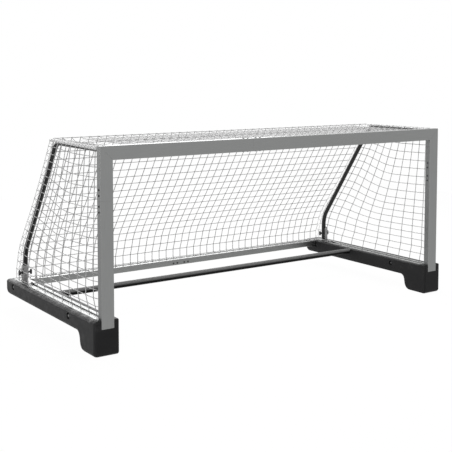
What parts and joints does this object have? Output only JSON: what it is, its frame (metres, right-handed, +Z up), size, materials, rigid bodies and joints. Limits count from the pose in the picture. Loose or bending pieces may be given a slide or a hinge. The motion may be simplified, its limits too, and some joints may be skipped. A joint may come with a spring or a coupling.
{
  "type": "water polo goal",
  "caption": "Floating water polo goal: alloy profile frame on moulded floats, with bent black net arms, wing-knob clamps and a square-mesh net.",
  "frame": {"origin": "middle of the floor under the goal, level with the soles of the two front float feet", "axes": "+X along the crossbar, to the right for someone who faces the goal mouth; +Y from the mouth to the back of the net; +Z up"},
  "size_m": [2.746, 1.326, 1.1802],
  "materials": {
    "alloy": "satin silver anodised",
    "black_tube": "black, semi-gloss",
    "float_skin": "black, moulded",
    "knob_plastic": "black, moulded",
    "steel": "bright stainless",
    "net_cord": "white twine"
  },
  "bodies": {
    "frame": {"arm_bracket_left": "steel", "arm_bracket_right": "steel", "clamp_bolt_left": "steel", "clamp_bolt_right": "steel", "cross_tube": "black_tube", "cross_tube_spigot_left": "alloy", "cross_tube_spigot_right": "alloy", "crossbar_left": "alloy", "crossbar_right": "alloy", "crossbar_splice": "alloy", "float_bolt_front_left": "steel", "float_bolt_front_right": "steel", "float_bolt_rear_left": "steel", "float_bolt_rear_right": "steel", "float_left": "float_skin", "float_nut_front_left": "steel", "float_nut_front_right": "steel", "float_nut_rear_left": "steel", "float_nut_rear_right": "steel", "float_right": "float_skin", "net_back_lower": "net_cord", "net_side_left": "net_cord", "net_side_right": "net_cord", "net_top": "net_cord", "post_lower_left": "alloy", "post_lower_right": "alloy", "post_splice_left": "alloy", "post_splice_right": "alloy", "post_upper_left": "alloy", "post_upper_right": "alloy", "rail_end_cap_left": "knob_plastic", "rail_end_cap_right": "knob_plastic", "rear_bar_left": "alloy", "rear_bar_right": "alloy", "rear_bar_splice": "alloy", "side_rail_left": "alloy", "side_rail_right": "alloy"},
    "net_arm_left": {"net_arm_left": "black_tube", "arm_tip_left": "knob_plastic", "net_back_upper": "net_cord"},
    "net_arm_right": {"net_arm_right": "black_tube", "arm_tip_right": "knob_plastic"},
    "wing_knob_outer_left": {"wing_knob_outer_left": "knob_plastic"},
    "wing_knob_inner_left": {"wing_knob_inner_left": "knob_plastic"},
    "wing_knob_outer_right": {"wing_knob_outer_right": "knob_plastic"},
    "wing_knob_inner_right": {"wing_knob_inner_right": "knob_plastic"}
  },
  "joints": [
    {"name": "arm_tilt_left", "type": "hinge", "parent": "frame", "child": "net_arm_left", "pos_m": [-1.29, 0.524, 0.258], "axis": [-1, 0, 0], "range_deg": [0, 5.5], "deforming": ["net_top"]},
    {"name": "arm_tilt_right", "type": "hinge", "parent": "frame", "child": "net_arm_right", "pos_m": [1.29, 0.524, 0.258], "axis": [-1, 0, 0], "range_deg": [0, 5.5]},
    {"name": "knob_turn_outer_left", "type": "hinge", "parent": "frame", "child": "wing_knob_outer_left", "pos_m": [-1.3103, 0.524, 0.258], "axis": [1, 0, 0], "continuous": true},
    {"name": "knob_turn_inner_left", "type": "hinge", "parent": "frame", "child": "wing_knob_inner_left", "pos_m": [-1.2732, 0.524, 0.258], "axis": [1, 0, 0], "continuous": true},
    {"name": "knob_turn_outer_right", "type": "hinge", "parent": "frame", "child": "wing_knob_outer_right", "pos_m": [1.3103, 0.524, 0.258], "axis": [1, 0, 0], "continuous": true},
    {"name": "knob_turn_inner_right", "type": "hinge", "parent": "frame", "child": "wing_knob_inner_right", "pos_m": [1.2732, 0.524, 0.258], "axis": [1, 0, 0], "continuous": true}
  ],
  "couplings": [
    {"joint": "arm_tilt_right", "follows": "arm_tilt_left", "ratio": 1}
  ]
}
